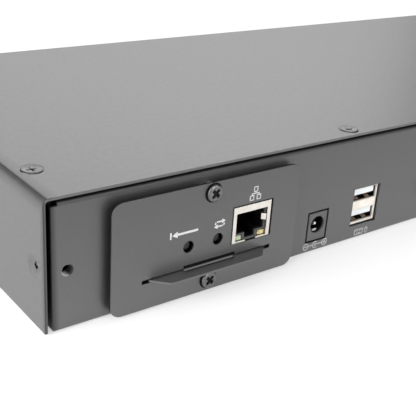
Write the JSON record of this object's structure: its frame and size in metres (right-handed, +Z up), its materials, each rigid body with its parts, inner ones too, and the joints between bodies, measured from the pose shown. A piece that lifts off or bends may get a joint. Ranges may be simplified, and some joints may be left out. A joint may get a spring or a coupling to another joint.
{
  "type": "kvm switch",
  "caption": "Rack-width black steel KVM switch with a slide-in network module, power inlet, USB, video and computer ports at the rear and port buttons in front.",
  "frame": {"origin": "middle of the flat underside of the base tray, halfway between its rear and front panels", "axes": "+X along the width, with the network module on the -X side; -Y out of the rear panel, which the picture shows; +Z up"},
  "size_m": [0.44, 0.1702, 0.044],
  "materials": {
    "black_paint": "satin black powder coat",
    "black_screw": "black zinc",
    "zinc_steel": "bright zinc",
    "nickel": "bright nickel plate",
    "gold_contact": "gold flash",
    "black_plastic": "moulded matt",
    "white_plastic": "moulded matt",
    "blue_plastic": "moulded matt",
    "board_green": "solder mask",
    "green_lens": "clear green",
    "amber_lens": "clear amber",
    "clear_plastic": "clear"
  },
  "bodies": {
    "chassis": {"base_tray": "black_paint", "top_cover": "black_paint", "cover_screw_1": "black_screw", "cover_screw_2": "black_screw", "cover_screw_3": "black_screw", "cover_screw_4": "black_screw", "cover_screw_5": "black_screw", "cover_screw_6": "black_screw", "cover_screw_7": "black_screw", "cover_screw_8": "black_screw", "cover_screw_9": "black_screw", "cover_screw_10": "black_screw", "bay_standoff_top": "zinc_steel", "bay_standoff_bottom": "zinc_steel", "bay_rail_left": "black_plastic", "bay_rail_right": "black_plastic", "bay_socket": "black_plastic", "main_board": "board_green", "board_screw_1": "zinc_steel", "board_screw_2": "zinc_steel", "board_screw_3": "zinc_steel", "board_screw_4": "zinc_steel", "dc_jack_body": "black_plastic", "dc_jack_pin": "nickel", "dc_jack_spring": "nickel", "usb_shell": "nickel", "usb_body": "white_plastic", "console_port_shell": "nickel", "console_port_insert": "blue_plastic", "console_jackscrew_left": "zinc_steel", "console_jackscrew_right": "zinc_steel", "pc_port_shield": "nickel", "pc_port_body": "black_plastic", "front_board": "board_green", "front_header": "black_plastic", "led_light_pipe": "clear_plastic"},
    "network_module": {"module_plate": "black_paint", "module_tray": "black_paint", "module_board": "board_green", "module_plug": "black_plastic", "lan_jack_shield": "nickel", "lan_jack_body": "black_plastic", "lan_contacts": "gold_contact", "lan_led_left": "green_lens", "lan_led_right": "amber_lens", "default_switch": "black_plastic", "reset_switch": "black_plastic", "module_screw_top": "black_screw", "module_screw_bottom": "black_screw"},
    "default_key": {"default_button": "black_plastic"},
    "reset_key": {"reset_button": "black_plastic"},
    "port_key_1": {"port_button_1": "black_plastic"},
    "port_key_2": {"port_button_2": "black_plastic"},
    "port_key_3": {"port_button_3": "black_plastic"},
    "port_key_4": {"port_button_4": "black_plastic"},
    "port_key_5": {"port_button_5": "black_plastic"},
    "port_key_6": {"port_button_6": "black_plastic"},
    "port_key_7": {"port_button_7": "black_plastic"},
    "port_key_8": {"port_button_8": "black_plastic"}
  },
  "joints": [
    {"name": "module_slide", "type": "slide", "parent": "chassis", "child": "network_module", "axis": [0, -1, 0], "range_m": [0, 0.12]},
    {"name": "default_button_press", "type": "slide", "parent": "network_module", "child": "default_key", "axis": [0, 1, 0], "range_m": [0, 0.00025], "stiffness_N_per_m": 250},
    {"name": "reset_button_press", "type": "slide", "parent": "network_module", "child": "reset_key", "axis": [0, 1, 0], "range_m": [0, 0.00025], "stiffness_N_per_m": 250},
    {"name": "port_button_1_press", "type": "slide", "parent": "chassis", "child": "port_key_1", "axis": [0, -1, 0], "range_m": [0, 0.0005], "stiffness_N_per_m": 250},
    {"name": "port_button_2_press", "type": "slide", "parent": "chassis", "child": "port_key_2", "axis": [0, -1, 0], "range_m": [0, 0.0005], "stiffness_N_per_m": 250},
    {"name": "port_button_3_press", "type": "slide", "parent": "chassis", "child": "port_key_3", "axis": [0, -1, 0], "range_m": [0, 0.0005], "stiffness_N_per_m": 250},
    {"name": "port_button_4_press", "type": "slide", "parent": "chassis", "child": "port_key_4", "axis": [0, -1, 0], "range_m": [0, 0.0005], "stiffness_N_per_m": 250},
    {"name": "port_button_5_press", "type": "slide", "parent": "chassis", "child": "port_key_5", "axis": [0, -1, 0], "range_m": [0, 0.0005], "stiffness_N_per_m": 250},
    {"name": "port_button_6_press", "type": "slide", "parent": "chassis", "child": "port_key_6", "axis": [0, -1, 0], "range_m": [0, 0.0005], "stiffness_N_per_m": 250},
    {"name": "port_button_7_press", "type": "slide", "parent": "chassis", "child": "port_key_7", "axis": [0, -1, 0], "range_m": [0, 0.0005], "stiffness_N_per_m": 250},
    {"name": "port_button_8_press", "type": "slide", "parent": "chassis", "child": "port_key_8", "axis": [0, -1, 0], "range_m": [0, 0.0005], "stiffness_N_per_m": 250}
  ]
}
